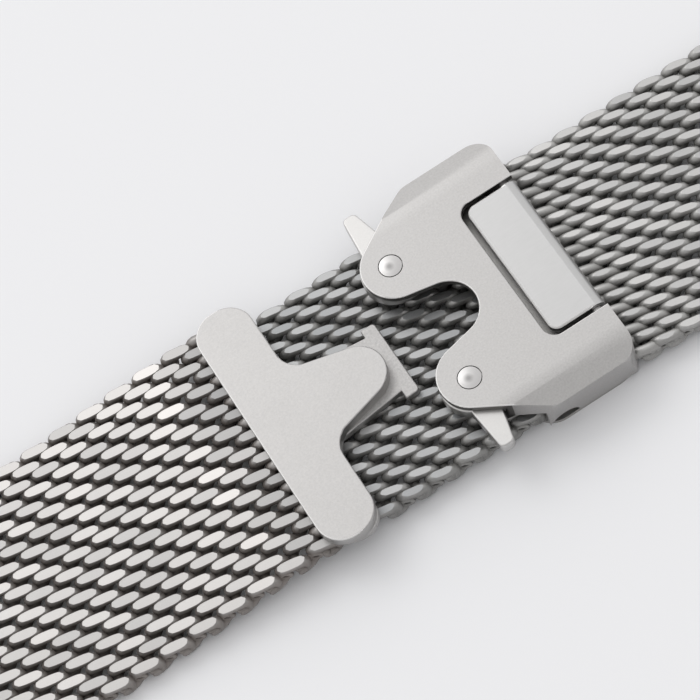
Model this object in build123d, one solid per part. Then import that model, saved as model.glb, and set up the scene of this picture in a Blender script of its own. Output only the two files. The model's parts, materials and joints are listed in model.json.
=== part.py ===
"""Milanese mesh band for a watch, laid open on a table.

All sizes are millimetres. X runs along the band, Y across it and Z up from the table. Places along X are
measured from the line that joins the two lever rivets, and each sub-part is written with the model's origin
under the middle of the clasp's base plate.
"""

from build123d import *
import math
import os

os.makedirs("parts", exist_ok=True)

OVERRUN = 1.0

# Woven mesh: flattened spirals lie across the band, one row behind the other
mesh_thickness = 1.6
row_valley = 0.2
hinge_gap = 0.12
hook_side_inset = 0.67
hook_side_pitch = 1.26
hook_side_rows = 9
hook_side_segments = 6
hook_stub_rows = 3
tail_side_inset = 1.045
tail_side_pitch = 1.22
tail_side_rows = 10
tail_side_segments = 7
clasp_stretch_rows = 15
tail_rows = 8
tail_hinge_x = -1.2

# Clasp, levels
deck_room = 0.45
top_plate_thickness = 0.55
base_thickness = 0.35
running_gap = 0.05
lever_thickness = 1.0
deck_thickness = 0.4

# Clasp, plan of the top plate
lobe_x = 0.32
lobe_pitch = 10.66
lobe_radius = 2.66
mouth_x = 1.53
mouth_radius = 2.3
shoulder_x = 3.95
clasp_width = 21.54
clasp_wall_lean = 0.45
clasp_end_x = 11.1
rear_corner_radius = 1.6
shoulder_radius = 1.5
face_inset = 1.67
face_drop = 0.56
wall_thickness = 0.5
wall_front_x = 0.95
low_wall_front_x = 3.2
skirt_bottom = 2.7
shell_edge_break = 0.1
nail_slot_length = 2.4
nail_slot_height = 1.25
channel_clearance = 0.135
base_front_x = 2.6
base_front_radius = 1.9

# Locking flap in the window of the top plate
window_front_gap = 0.5
window_side_gap = 0.37
window_corner_growth = 0.32
flap_front_x = 6.77
flap_width = 12.16
flap_corner = 0.74
flap_thickness = 0.75
flap_axis_x = 10.32
flap_barrel_radius = 0.78
flap_pin_radius = 0.4
flap_running_clearance = 0.05
flap_lug_thickness = 0.9
flap_lug_drop = 0.85
flap_lug_margin = 0.35
cam_nose_radius = 0.35
flap_edge_break = 0.12

# Levers, their rivets and return springs
rivet_pitch = 11.0
rivet_head_radius = 0.86
rivet_head_depth = 0.35
rivet_head_gap = 0.07
rivet_dome = 0.06
rivet_shank_radius = 0.6
rivet_shoulder_radius = 0.8
rivet_foot_radius = 0.95
rivet_foot_height = 0.15
lever_running_clearance = 0.06
lever_hub_radius = 2.4
lever_edge_break = 0.12
tab_root_x = (-1.25, 0.8)
tab_root_y = (7.95, 8.4)
tab_tip_x = (-0.97, 0.1)
tab_tip_reach = 0.43
tab_tip_radius = 0.45
nose_tip_half_gap = 2.75
nose_ramp_x = 0.9
nose_tip_x = (2.7, 3.55)
nose_back = (3.55, 4.3)
nose_root = (2.2, 6.6)
spring_recess_radius = 1.9
spring_recess_depth = 0.5
spring_inner_radius = 1.2
spring_wire = 0.35
spring_gap_deg = 40
deck_notch_half_width = 3.45
deck_notch_end_x = 4.95
deck_notch_corner = 1.0
deck_end_x = 8.2

# Hook piece: an upper plate on a lower plate, both T shaped
hook_plate_thickness = 1.0
hook_lower_thickness = 0.65
bar_front_x = -10.44
bar_depth = 4.51
bar_inset = 0.14
bar_corner = 2.1
bar_root_half_width = 4.87
stem_root = (-9.31, 3.1)
stem_root_radius = 0.25
stem_end_x = -4.18
stem_end_radius = 2.22
lower_bar_rear_x = -14.0
lower_bar_corner = 1.65
lower_bar_inset = 0.06
neck_root_half_width = 3.3
neck_end_half_width = 2.59
head_front_x = -3.23
head_depth = 1.16
head_half_width = 3.28
head_corner = 0.3
head_edge_break = 0.1
stub_gap = 0.05
hook_edge_break = 0.1

# Rolled ends that hold the spring bars
lug_inset = 0.77
rolled_end_side_gap = 0.2
eye_radius = 1.3
bar_running_clearance = 0.06
flange_start = 0.9
flange_end = 4.6
slot_start = 1.6
clamp_wall = 0.3
tongue_clearance = 0.02

# Spring bars
barrel_radius = 0.9
barrel_bore_radius = 0.72
barrel_lip = 0.5
tip_stem_radius = 0.57
tip_stem_clearance = 0.05
tip_collar_radius = 0.67
tip_collar_length = 0.8
tip_ring_radius = 0.8
tip_ring_length = 0.4
tip_pin_radius = 0.4
tip_pin_length = 1.1
tip_reach = 1.0
tip_travel = 0.95
bar_spring_radius = 0.7

# Worked-out widths and levels
mesh_bottom = base_thickness + running_gap
mesh_top = mesh_bottom + mesh_thickness
deck_bottom = mesh_top + deck_room
deck_top = deck_bottom + deck_thickness
lever_bottom = deck_top + running_gap
lever_top = lever_bottom + lever_thickness
top_plate_bottom = lever_top + running_gap
clasp_height = top_plate_bottom + top_plate_thickness
hook_bottom = mesh_top + running_gap
hook_middle = hook_bottom + hook_lower_thickness
hook_top = hook_middle + hook_plate_thickness
clasp_foot_width = clasp_width - 2 * clasp_wall_lean
face_width = clasp_width - 2 * face_inset
tail_side_width = clasp_width - 2 * tail_side_inset
hook_side_width = clasp_width - 2 * hook_side_inset
bar_length = clasp_width - 2 * bar_inset
lug_width = clasp_width - 2 * lug_inset
tab_tip_y = clasp_width / 2 + tab_tip_reach
window_front_x = flap_front_x - window_front_gap
window_width = flap_width + 2 * window_side_gap
window_corner = flap_corner + window_corner_growth
channel_half_width = tail_side_width / 2 + channel_clearance
window_wall_y = (window_width / 2 + clasp_foot_width / 2) / 2
tip_ring_y = lug_width / 2 + tip_reach - tip_pin_length - tip_ring_length
barrel_end_y = tip_ring_y - tip_travel - running_gap
rivet_y = rivet_pitch / 2
lobe_y = lobe_pitch / 2
flap_axis_z = clasp_height - flap_barrel_radius
origin_x = (base_front_x + clasp_end_x - running_gap) / 2


def prism(face, low, high):
    """A plan outline raised between two levels."""
    return extrude(Pos(0, 0, low) * face, amount=high - low, dir=(0, 0, 1))


def across(face, width):
    """A side profile (x, z) drawn out symmetrically across the band."""
    return extrude(Plane.XZ * face, amount=width / 2, both=True)


def outline(points):
    """A closed polygon in plan or in profile."""
    return make_face(Polyline(*points, close=True))


def box_between(x, y, z):
    """A block given by its low and high limits on each axis."""
    size = [high - low for low, high in (x, y, z)]
    return Pos(x[0], y[0], z[0]) * Box(*size, align=(Align.MIN, Align.MIN, Align.MIN))


def mirrored(points):
    """The same plan points on the other side of the band's middle line."""
    return [(x, -y) for x, y in reversed(points)]


def near(shape, places, tolerance):
    """The vertices of a plan outline that lie at the given places."""
    picked = [v for v in shape.vertices() for x, y in places if math.hypot(v.X - x, v.Y - y) < tolerance]
    return ShapeList(picked)


def top_edges(solid, level):
    """The edges of a solid that lie flat at one level."""
    return solid.edges().filter_by_position(Axis.Z, level - running_gap, level + running_gap)


def soften(solid, level, radius):
    """Round the edges that lie flat at one level."""
    return fillet(top_edges(solid, level), radius)


def circle_at(x, y, radius):
    """A round face in plan."""
    return Pos(x, y) * Circle(radius)


def post(x, y, radius, low, high):
    """An upright cylinder between two levels."""
    return prism(circle_at(x, y, radius), low, high)


def save(solid, name):
    """Write one sub-part as its own node, about the origin under the base plate."""
    export_step(Pos(-origin_x, 0, 0) * solid, f"parts/{name}.step")


def throat_points():
    """Where the straight throat line leaves the lobe's circle and meets the mouth's circle."""
    apart_x = mouth_x - lobe_x
    spacing = math.hypot(apart_x, lobe_y)
    turn = math.acos((lobe_radius + mouth_radius) / spacing)
    angle = math.atan2(-lobe_y, apart_x) - turn
    on_lobe = (lobe_x + lobe_radius * math.cos(angle), lobe_y + lobe_radius * math.sin(angle))
    on_mouth = (mouth_x - mouth_radius * math.cos(angle), -mouth_radius * math.sin(angle))
    return on_lobe, on_mouth


def touch_point(place, centre, radius, turn):
    """Where the straight line from a place touches a circle; turn is 1 or -1 for the side."""
    spread = math.hypot(place[0] - centre[0], place[1] - centre[1])
    angle = math.atan2(place[1] - centre[1], place[0] - centre[0]) + turn * math.acos(radius / spread)
    return centre[0] + radius * math.cos(angle), centre[1] + radius * math.sin(angle)


def clasp_outline():
    """Plan of the clasp: two round lobes, a mouth between them, slanted flanks and a square rear."""
    half = clasp_width / 2
    shoulder = (shoulder_x, half)
    on_lobe, on_mouth = throat_points()
    side = [on_lobe, touch_point(shoulder, (lobe_x, lobe_y), lobe_radius, 1), shoulder, (clasp_end_x, half)]
    body = outline(side + mirrored(side))
    body = fillet(near(body, [(shoulder_x, half), (shoulder_x, -half)], running_gap), shoulder_radius)
    body = fillet(near(body, [(clasp_end_x, half), (clasp_end_x, -half)], running_gap), rear_corner_radius)
    plan = body + circle_at(lobe_x, lobe_y, lobe_radius) + circle_at(lobe_x, -lobe_y, lobe_radius)
    plan -= circle_at(mouth_x, 0, mouth_radius)
    plan -= outline([on_lobe, on_mouth] + mirrored([on_lobe, on_mouth]))
    return plan


def inner_outline():
    """Plan of the space inside the clasp's walls."""
    half = clasp_width / 2 - wall_thickness
    lobe = lobe_radius - wall_thickness
    shoulder = (shoulder_x, clasp_width / 2)
    flank = touch_point(shoulder, (lobe_x, lobe_y), lobe_radius, 1)
    slope = (shoulder[1] - flank[1]) / (shoulder[0] - flank[0])
    share = lobe / lobe_radius
    inner_flank = (lobe_x + (flank[0] - lobe_x) * share, lobe_y + (flank[1] - lobe_y) * share)
    inner_shoulder = (inner_flank[0] + (half - inner_flank[1]) / slope, half)
    side = [(lobe_x, lobe_y), inner_flank, inner_shoulder, (clasp_end_x - wall_thickness, half)]
    body = outline(side + mirrored(side))
    return body + circle_at(lobe_x, lobe_y, lobe) + circle_at(lobe_x, -lobe_y, lobe)


def clasp_section():
    """Cross section of the clasp's outside, seen along the band, as a block that trims the plan shape."""
    top, wide, foot = face_width / 2, clasp_width / 2, clasp_foot_width / 2
    edge = clasp_height - face_drop
    side = [(top, clasp_height), (wide, edge), (foot, 0)]
    face = make_face(Polyline(*side, *[(-y, z) for y, z in reversed(side)], close=True))
    block = extrude(Plane.YZ * face, amount=clasp_end_x * 2, both=True)
    return block


def window_outline():
    """Plan of the notch that the flap lies in, open at the rear."""
    length = clasp_end_x + OVERRUN + window_corner - window_front_x
    centre = window_front_x + length / 2
    return Pos(centre, 0) * RectangleRounded(length, window_width, window_corner)


def nail_slot(side):
    """Half-round opening low in the side wall, for a fingernail."""
    centre = low_wall_front_x + nail_slot_length / 2
    face = Pos(centre, base_thickness) * Ellipse(nail_slot_length / 2, nail_slot_height)
    half = clasp_width / 2
    cut = extrude(Plane.XZ * face, amount=half, both=True)
    keep = (channel_half_width - OVERRUN, half + OVERRUN)
    low, high = keep if side > 0 else (-keep[1], -keep[0])
    return cut & box_between((0, clasp_end_x), (low, high), (base_thickness, clasp_height))


def clasp_shell():
    """Top plate with its bevelled sides, the side walls below it and the lugs of the flap hinge."""
    blank = prism(clasp_outline(), 0, clasp_height) & clasp_section()
    plate = blank & box_between((-clasp_end_x, clasp_end_x), (-clasp_width, clasp_width),
                                (top_plate_bottom, clasp_height))
    walls = blank - prism(inner_outline(), -OVERRUN, clasp_height)
    shell = plate
    for low, high in ((-clasp_width, -window_wall_y), (window_wall_y, clasp_width)):
        band = box_between((wall_front_x, clasp_end_x), (low, high), (skirt_bottom, top_plate_bottom))
        foot = box_between((low_wall_front_x, clasp_end_x), (low, high), (base_thickness, skirt_bottom))
        shell += walls & (band + foot)
    shell -= prism(window_outline(), 0, clasp_height + OVERRUN)
    shell -= box_between((0, clasp_end_x + OVERRUN), (-channel_half_width, channel_half_width),
                         (0, deck_bottom))
    shell -= nail_slot(1) + nail_slot(-1)
    for side in (1, -1):
        shell += flap_lug(side)
    shell -= hinge_bore(flap_pin_radius)
    shell = fillet(rim_edges(shell), shell_edge_break)
    for side in (1, -1):
        shell -= rivet_hole(side)
    return shell


def rim_edges(shell):
    """Edges of the flat top along the lobes, mouth, flanks and window, without the bevels and the rear."""
    edges = top_edges(shell, clasp_height)
    return edges.filter_by(lambda e: abs(e.center().Y) < face_width / 2 - running_gap
                           and e.center().X < clasp_end_x - running_gap)


def flap_lug(side):
    """Ear under the top plate that carries one end of the flap's pin."""
    start = window_width / 2
    ends = (start, start + flap_lug_thickness) if side > 0 else (-start - flap_lug_thickness, -start)
    x = (flap_axis_x - flap_barrel_radius, clasp_end_x - flap_lug_margin)
    return box_between(x, ends, (top_plate_bottom - flap_lug_drop, top_plate_bottom))


def hinge_bore(radius):
    """The flap pin's bore right across the clasp."""
    length = window_width + 2 * flap_lug_thickness + 2 * OVERRUN
    return Pos(flap_axis_x, 0, flap_axis_z) * Rot(90, 0, 0) * Cylinder(radius, length)


def rivet_hole(side):
    """Counterbored hole for one rivet in the top plate."""
    y = side * rivet_y
    head = rivet_head_radius + rivet_head_gap
    floor = clasp_height - rivet_head_depth
    return post(0, y, head, floor, clasp_height + OVERRUN) + post(0, y, rivet_shank_radius, 0, floor + OVERRUN)


def clasp_base():
    """Thin bottom plate that the mesh slides on."""
    length = clasp_end_x - running_gap - base_front_x
    centre = base_front_x + length / 2
    plan = Pos(centre, 0) * RectangleRounded(length, clasp_foot_width, base_front_radius)
    return prism(plan, 0, base_thickness)


def lever_deck():
    """Inner plate over the mesh: it carries the rivets and leaves the hook's path open."""
    limit = box_between((-clasp_end_x, deck_end_x), (-channel_half_width, channel_half_width),
                        (deck_bottom, deck_top))
    deck = prism(inner_outline(), deck_bottom, deck_top) & limit
    start = -clasp_end_x
    length = deck_notch_end_x - start
    notch = Pos(start + length / 2, 0) * RectangleRounded(length, 2 * deck_notch_half_width, deck_notch_corner)
    deck -= prism(notch, deck_bottom - OVERRUN, deck_top + OVERRUN)
    for side in (1, -1):
        deck -= post(0, side * rivet_y, rivet_shank_radius, deck_bottom - OVERRUN, deck_top + OVERRUN)
    return deck


def lever():
    """One catch lever: round hub on the rivet, finger tab outside, ramped nose inside."""
    tab = outline([(tab_root_x[0], tab_root_y[0] - OVERRUN), (tab_root_x[0], tab_root_y[0]),
                   (tab_tip_x[0], tab_tip_y), (tab_tip_x[1], tab_tip_y),
                   (tab_root_x[1], tab_root_y[1]), (tab_root_x[1], tab_root_y[1] - OVERRUN)])
    tips = [(tab_tip_x[0], tab_tip_y), (tab_tip_x[1], tab_tip_y)]
    tab = fillet(near(tab, tips, running_gap), tab_tip_radius)
    hub_low = rivet_y - lever_hub_radius
    nose = outline([(0, hub_low), (nose_ramp_x, hub_low), (nose_tip_x[0], nose_tip_half_gap),
                    (nose_tip_x[1], nose_tip_half_gap), nose_back, nose_root, (0, rivet_y)])
    plan = circle_at(0, rivet_y, lever_hub_radius) + tab + nose
    plan -= circle_at(0, rivet_y, rivet_shoulder_radius + lever_running_clearance)
    body = prism(plan, lever_bottom, lever_top)
    body = soften(body, lever_top, lever_edge_break)
    body -= post(0, rivet_y, spring_recess_radius, lever_bottom - OVERRUN, lever_bottom + spring_recess_depth)
    return body


def lever_rivet():
    """Shouldered rivet with a low domed head sunk in the top plate."""
    head_low = clasp_height - rivet_head_depth
    dome_radius = (rivet_head_radius ** 2 + rivet_dome ** 2) / (2 * rivet_dome)
    head = post(0, rivet_y, rivet_head_radius, head_low, clasp_height + rivet_dome)
    head &= Pos(0, rivet_y, clasp_height + rivet_dome - dome_radius) * Sphere(dome_radius)
    shank = post(0, rivet_y, rivet_shank_radius, deck_bottom - rivet_foot_height, head_low)
    shoulder = post(0, rivet_y, rivet_shoulder_radius, deck_top, top_plate_bottom)
    foot = post(0, rivet_y, rivet_foot_radius, deck_bottom - rivet_foot_height, deck_bottom)
    return head + shank + shoulder + foot


def lever_spring():
    """Open ring of flat wire round the rivet, in the lever's recess."""
    outer = spring_inner_radius + spring_wire
    ring = circle_at(0, rivet_y, outer) - circle_at(0, rivet_y, spring_inner_radius)
    reach = outer * 2
    half = math.radians(spring_gap_deg / 2)
    wedge = outline([(0, rivet_y), (reach * math.cos(half), rivet_y + reach * math.sin(half)),
                     (reach * math.cos(half), rivet_y - reach * math.sin(half))])
    return prism(ring - wedge, deck_top, deck_top + spring_wire)


def locking_flap():
    """Flap with a barrel at its rear and a cam under the barrel that presses on the mesh."""
    low = clasp_height - flap_thickness
    length = clasp_end_x - flap_front_x + flap_corner
    plan = Pos(flap_front_x + length / 2, 0) * RectangleRounded(length, flap_width, flap_corner)
    plate = prism(plan, low, clasp_height)
    plate &= box_between((flap_front_x, flap_axis_x), (-flap_width, flap_width), (low, clasp_height))
    plate = chamfer(top_edges(plate, clasp_height).filter_by_position(
        Axis.X, flap_front_x - running_gap, flap_axis_x - running_gap), flap_edge_break)
    barrel = Pos(flap_axis_x, 0, flap_axis_z) * Rot(90, 0, 0) * Cylinder(flap_barrel_radius, flap_width)
    cam_z = mesh_top + running_gap + cam_nose_radius
    cam = Pos(flap_axis_x, 0, cam_z) * Rot(90, 0, 0) * Cylinder(cam_nose_radius, flap_width)
    cheek = outline([(flap_axis_x - flap_barrel_radius, flap_axis_z), (flap_axis_x - cam_nose_radius, cam_z),
                     (flap_axis_x + cam_nose_radius, cam_z), (flap_axis_x + flap_barrel_radius, flap_axis_z)])
    flap = plate + barrel + cam + across(cheek, flap_width)
    return flap - hinge_bore(flap_pin_radius + flap_running_clearance)


def flap_hinge_pin():
    """Plain pin through the flap's barrel and the two ears."""
    length = window_width + 2 * flap_lug_thickness
    return Pos(flap_axis_x, 0, flap_axis_z) * Rot(90, 0, 0) * Cylinder(flap_pin_radius, length)


def stem_outline():
    """Plan of the hook's upper plate: bar, hollow fillets, tapering stem and round end."""
    centre = (stem_end_x - stem_end_radius, 0)
    root = stem_root
    touch = touch_point(root, centre, stem_end_radius, -1)
    start = (bar_front_x, bar_root_half_width)
    back = (bar_front_x - bar_depth / 2, bar_root_half_width)
    edges = [Line((back[0], -back[1]), back), Line(back, start),
             TangentArc(start, root, tangent=(0, -1)), Line(root, touch),
             ThreePointArc(touch, (stem_end_x, 0), (touch[0], -touch[1])),
             Line((touch[0], -touch[1]), (root[0], -root[1])),
             TangentArc((start[0], -start[1]), (root[0], -root[1]), tangent=(0, 1)),
             Line((start[0], -start[1]), (back[0], -back[1]))]
    stem = make_face(edges)
    stem = fillet(near(stem, [root, (root[0], -root[1])], running_gap), stem_root_radius)
    bar = Pos(bar_front_x - bar_depth / 2, 0) * RectangleRounded(bar_depth, bar_length, bar_corner)
    return bar + stem


def hook_upper_plate():
    """Upper T plate with softened top edges."""
    plate = prism(stem_outline(), hook_middle, hook_top)
    return soften(plate, hook_top, hook_edge_break)


def hook_lower_plate():
    """Lower T plate: the head that the levers catch, its neck and the under half of the bar."""
    depth = bar_front_x - lower_bar_rear_x - lower_bar_inset
    bar = (Pos(lower_bar_rear_x + depth / 2, 0)
           * RectangleRounded(depth, bar_length - 2 * lower_bar_inset, lower_bar_corner))
    shoulder_x_head = head_front_x - head_depth
    side = [(bar_front_x - bar_depth / 2, neck_root_half_width), (bar_front_x, neck_root_half_width),
            (shoulder_x_head, neck_end_half_width), (shoulder_x_head, head_half_width),
            (head_front_x, head_half_width)]
    neck = outline(side + mirrored(side))
    corners = [(head_front_x, head_half_width), (head_front_x, -head_half_width)]
    neck = fillet(near(neck, corners, running_gap), head_corner)
    return soften(prism(bar + neck, hook_bottom, hook_middle), hook_middle, head_edge_break)


def row_tops(first, last, pitch, level, valley):
    """Scalloped line over a stretch of rows, left to right."""
    arcs = []
    for i in range(first, last):
        middle = (i + 0.5) * pitch
        arcs.append(ThreePointArc((i * pitch, valley), (middle, level), ((i + 1) * pitch, valley)))
    return arcs


def mesh_profile(rows, pitch, blunt_start, blunt_end):
    """Side profile of one stretch of mesh, about its own mid plane, from x = 0 to rows times pitch.

    A hinged end is round; a blunt end is cut square where it is welded or left free."""
    half = mesh_thickness / 2
    valley = half - row_valley
    length = rows * pitch
    edges = []
    first, last = (0 if blunt_start else 1), (rows if blunt_end else rows - 1)
    for sign in (1, -1):
        edges += row_tops(first, last, pitch, sign * half, sign * valley)
    if blunt_start:
        edges.append(Line((0, -valley), (0, valley)))
    else:
        edges += round_end(hinge_gap / 2, half, first * pitch, valley, 1)
    if blunt_end:
        edges.append(Line((length, -valley), (length, valley)))
    else:
        edges += round_end(length - hinge_gap / 2, half, last * pitch, valley, -1)
    return make_face(edges)


def round_end(tip, half, next_x, valley, way):
    """Half-round end of a mesh stretch with the two short lines that join it to the rows."""
    crown = tip + way * half
    return [ThreePointArc((crown, -half), (tip, 0), (crown, half)),
            Line((crown, half), (next_x, valley)),
            Line((crown, -half), (next_x, -valley))]


def mesh_stretch(rows, pitch, width, blunt_start=False, blunt_end=False):
    """One stretch of mesh as a closed body along +X from its own hinge."""
    return across(mesh_profile(rows, pitch, blunt_start, blunt_end), width)


def mesh_tongue(start, length, width):
    """Pressed-flat end of the mesh inside the rolled end."""
    half = (mesh_thickness - 2 * clamp_wall) / 2 - tongue_clearance
    return box_between((start, start + length), (-width / 2, width / 2), (-half, half))


def run_of_mesh(start_x, start_z, rows, pitch, count, toward):
    """Place, tilt and hinge of each stretch in a run that first dips to the table and then lies flat.

    Returns (x, z, tilt in degrees) for each stretch; toward is 1 along +X and -1 along -X."""
    places = []
    x, z = start_x, start_z
    flat_z = mesh_thickness / 2
    for i in range(count):
        length = rows * pitch
        drop = z - flat_z if i == 0 else 0
        tilt = math.degrees(math.asin(drop / length))
        places.append((x, z, tilt))
        x += toward * length * math.cos(math.radians(tilt))
        z -= drop
    return places, (x, z)


def placed(solid, x, z, tilt, toward):
    """Put a stretch at its hinge, dipping by the tilt, along +X or turned round along -X."""
    turned = solid if toward > 0 else Rot(0, 0, 180) * solid
    return Pos(x, 0, z) * Rot(0, toward * tilt, 0) * turned


def end_width():
    """Width of a rolled end between the lugs of the watch."""
    return lug_width - 2 * rolled_end_side_gap


def rolled_end():
    """Rolled sheet end: an eye for the spring bar and two flanges that clamp the mesh.

    Its own origin is on the table under the eye, and the mesh leaves along +X."""
    eye = Pos(0, eye_radius) * Circle(eye_radius)
    flange = outline([(0, 0), (flange_end, 0), (flange_end, mesh_thickness), (flange_start, mesh_thickness),
                      (flange_start, eye_radius), (0, eye_radius)])
    slot = outline([(slot_start, clamp_wall), (flange_end + OVERRUN, clamp_wall),
                    (flange_end + OVERRUN, mesh_thickness - clamp_wall),
                    (slot_start, mesh_thickness - clamp_wall)])
    bore = Pos(0, eye_radius) * Circle(barrel_radius + bar_running_clearance)
    return across(eye + flange - slot - bore, end_width())


def lying(radius, low, high):
    """A round bar along Y between two places, on the eye's axis of a rolled end."""
    return (Pos(0, (low + high) / 2, eye_radius) * Rot(90, 0, 0) * Cylinder(radius, high - low))


def spring_bar_barrel():
    """Tube of the spring bar, rolled in at both ends."""
    end = barrel_end_y
    tube = lying(barrel_radius, -end, end) - lying(barrel_bore_radius, barrel_lip - end, end - barrel_lip)
    return tube - lying(tip_stem_radius + tip_stem_clearance, -end - OVERRUN, end + OVERRUN)


def spring_bar_tip():
    """Plunger of the spring bar on the +Y side: collar inside, stem, ring and pin outside."""
    collar_end = barrel_end_y - barrel_lip - running_gap
    pin_start = tip_ring_y + tip_ring_length
    return (lying(tip_collar_radius, collar_end - tip_collar_length, collar_end)
            + lying(tip_stem_radius, collar_end, tip_ring_y)
            + lying(tip_ring_radius, tip_ring_y, pin_start)
            + lying(tip_pin_radius, pin_start, pin_start + tip_pin_length))


def spring_bar_spring():
    """Envelope of the coil spring between the two plungers, at its pressed length."""
    collar_start = barrel_end_y - barrel_lip - running_gap - tip_collar_length
    half = collar_start - tip_travel - running_gap
    return lying(bar_spring_radius, -half, half)


def write_clasp():
    """Clasp body, levers and flap."""
    save(clasp_shell(), "clasp_shell")
    save(clasp_base(), "clasp_base")
    save(lever_deck(), "lever_deck")
    save(locking_flap(), "locking_flap")
    save(flap_hinge_pin(), "flap_hinge_pin")
    for name, make in (("catch_lever", lever), ("lever_rivet", lever_rivet), ("lever_spring", lever_spring)):
        piece = make()
        save(piece, f"{name}_far")
        save(mirror(piece, about=Plane.XZ), f"{name}_near")


def write_rolled_end(x, toward, label):
    """Rolled end with its spring bar; toward is the way that its mesh leaves it."""
    turn = Rot(0, 0, 0 if toward > 0 else 180)
    spot = Pos(x, 0, 0) * turn
    save(spot * rolled_end(), f"rolled_end_{label}")
    save(spot * spring_bar_barrel(), f"spring_bar_tube_{label}")
    save(spot * spring_bar_spring(), f"spring_bar_spring_{label}")
    tip = Pos(x, 0, 0) * spring_bar_tip()
    save(tip, f"spring_bar_tip_{label}_far")
    save(mirror(tip, about=Plane.XZ), f"spring_bar_tip_{label}_near")


def write_run(places, rows, pitch, width, toward, label):
    """The stretches of one half of the band; the last one ends in a pressed tongue."""
    for i, (x, z, tilt) in enumerate(places):
        last = i == len(places) - 1
        solid = mesh_stretch(rows, pitch, width, blunt_end=last)
        if last:
            tongue = flange_end - slot_start - running_gap
            solid += mesh_tongue(rows * pitch, tongue, end_width())
        save(placed(solid, x, z, tilt, toward), f"mesh_{label}_{i + 1}")


def write_hook_half():
    """Hook piece and the half of the band that is welded to it."""
    save(hook_upper_plate(), "hook_upper_plate")
    save(hook_lower_plate(), "hook_lower_plate")
    stub_x = lower_bar_rear_x - stub_gap
    stub_z = hook_middle - mesh_thickness / 2
    stub = mesh_stretch(hook_stub_rows, hook_side_pitch, hook_side_width, blunt_start=True)
    save(placed(stub, stub_x, stub_z, 0, -1), "mesh_hook_side_stub")
    start = stub_x - hook_stub_rows * hook_side_pitch
    places, (end_x, _) = run_of_mesh(start, stub_z, hook_side_rows, hook_side_pitch, hook_side_segments, -1)
    write_run(places, hook_side_rows, hook_side_pitch, hook_side_width, -1, "hook_side")
    write_rolled_end(end_x - flange_end, 1, "hook_side")
    return places, end_x - flange_end


def write_tail_half():
    """The half of the band that runs through the clasp, with its loose tail."""
    middle = mesh_bottom + mesh_thickness / 2
    tail = mesh_stretch(tail_rows, tail_side_pitch, tail_side_width, blunt_end=True)
    save(placed(tail, tail_hinge_x, middle, 0, -1), "mesh_tail_end")
    inside = mesh_stretch(clasp_stretch_rows, tail_side_pitch, tail_side_width)
    save(placed(inside, tail_hinge_x, middle, 0, 1), "mesh_in_clasp")
    start = tail_hinge_x + clasp_stretch_rows * tail_side_pitch
    places, (end_x, _) = run_of_mesh(start, middle, tail_side_rows, tail_side_pitch, tail_side_segments, 1)
    write_run(places, tail_side_rows, tail_side_pitch, tail_side_width, 1, "tail_side")
    write_rolled_end(end_x + flange_end, -1, "tail_side")
    return places, end_x + flange_end


write_clasp()
hook_hinges, hook_eye_x = write_hook_half()
tail_hinges, tail_eye_x = write_tail_half()
for label, hinges, eye in (("hook side", hook_hinges, hook_eye_x), ("tail side", tail_hinges, tail_eye_x)):
    print(label, "hinges", [(round(x - origin_x, 3), round(z, 3), round(tilt, 2)) for x, z, tilt in hinges])
    print(label, "eye", round(eye - origin_x, 3), round(eye_radius, 3))
print("tail hinge", round(tail_hinge_x - origin_x, 3), round(mesh_bottom + mesh_thickness / 2, 3))
print("flap hinge", round(flap_axis_x - origin_x, 3), round(flap_axis_z, 3), "rivets", -origin_x, rivet_y)
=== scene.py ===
"""Looks of the milanese mesh band: woven wire, satin clasp plates, levers, rivets and spring bars."""

import json
import math
import random

import bmesh
import bpy
from bpy.props import FloatProperty, FloatVectorProperty, IntProperty, PointerProperty
from bpy.types import Operator, Panel, PropertyGroup
from mathutils import Matrix, Vector


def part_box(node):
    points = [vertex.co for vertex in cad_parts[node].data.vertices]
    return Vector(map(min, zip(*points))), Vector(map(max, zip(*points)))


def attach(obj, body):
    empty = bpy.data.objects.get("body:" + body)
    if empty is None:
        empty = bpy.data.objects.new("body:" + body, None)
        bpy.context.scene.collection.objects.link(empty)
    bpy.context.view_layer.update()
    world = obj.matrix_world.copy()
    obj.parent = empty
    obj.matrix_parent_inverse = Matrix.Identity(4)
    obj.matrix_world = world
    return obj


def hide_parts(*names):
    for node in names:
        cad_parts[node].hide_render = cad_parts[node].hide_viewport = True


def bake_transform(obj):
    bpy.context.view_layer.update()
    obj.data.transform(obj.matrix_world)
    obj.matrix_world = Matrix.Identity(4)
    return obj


bl_info = {
    "name": "Milanese mesh band",
    "version": (1, 0, 0),
    "blender": (4, 5, 0),
    "location": "3D View > Sidebar > Mesh band",
    "description": "Dresses the packed watch band with woven wire and satin steel",
    "category": "Object",
}

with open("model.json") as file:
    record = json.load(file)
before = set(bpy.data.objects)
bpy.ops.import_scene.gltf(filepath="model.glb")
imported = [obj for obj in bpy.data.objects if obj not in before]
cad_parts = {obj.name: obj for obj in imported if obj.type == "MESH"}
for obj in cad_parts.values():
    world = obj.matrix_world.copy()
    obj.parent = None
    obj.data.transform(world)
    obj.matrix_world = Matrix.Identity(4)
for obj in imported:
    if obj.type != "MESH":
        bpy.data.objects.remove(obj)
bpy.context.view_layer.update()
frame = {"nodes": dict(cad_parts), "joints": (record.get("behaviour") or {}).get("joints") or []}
HINGES = {j["name"]: Vector(j["pos_m"]) for j in frame["joints"] if j.get("pos_m")}
MM = 0.001
SAME_PLACE = 1e-7   # metres: points closer than this are one
SENSOR = 36         # width of the camera's sensor, in millimetres
FRAME, FOCAL = 700, 3000   # width of the frame and the camera's focal length, both in the frame's pixels


def length(name, text, value, low=0.0, high=1.0):
    """A size in metres that shows with its unit."""
    return FloatProperty(name=name, description=text, default=value, min=low, max=high,
                         precision=5, subtype="DISTANCE", unit="LENGTH")


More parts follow.
